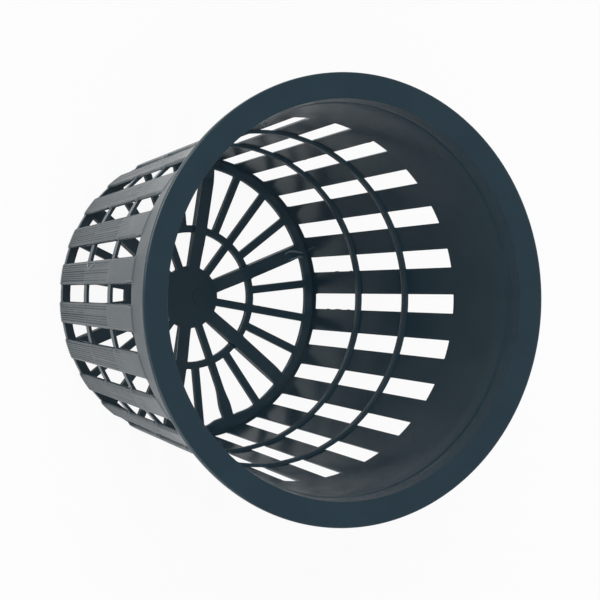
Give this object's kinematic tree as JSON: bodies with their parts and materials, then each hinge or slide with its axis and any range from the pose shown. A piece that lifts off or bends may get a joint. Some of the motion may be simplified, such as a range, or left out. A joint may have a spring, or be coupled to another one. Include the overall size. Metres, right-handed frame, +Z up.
{
  "type": "net pot",
  "caption": "Tapered round plant basket with a flat rim flange, slatted side wall tied by thin inner hoops, and a spoked open base, moulded in one piece.",
  "frame": {"origin": "centre of the base's underside, on the pot's axis", "axes": "+Z up along the pot's axis, out of its mouth; +X through the middle of a slot"},
  "size_m": [0.152, 0.152, 0.119],
  "materials": {
    "pot_plastic": "satin, as moulded"
  },
  "bodies": {
    "root": {"net_pot": "pot_plastic"}
  },
  "joints": []
}
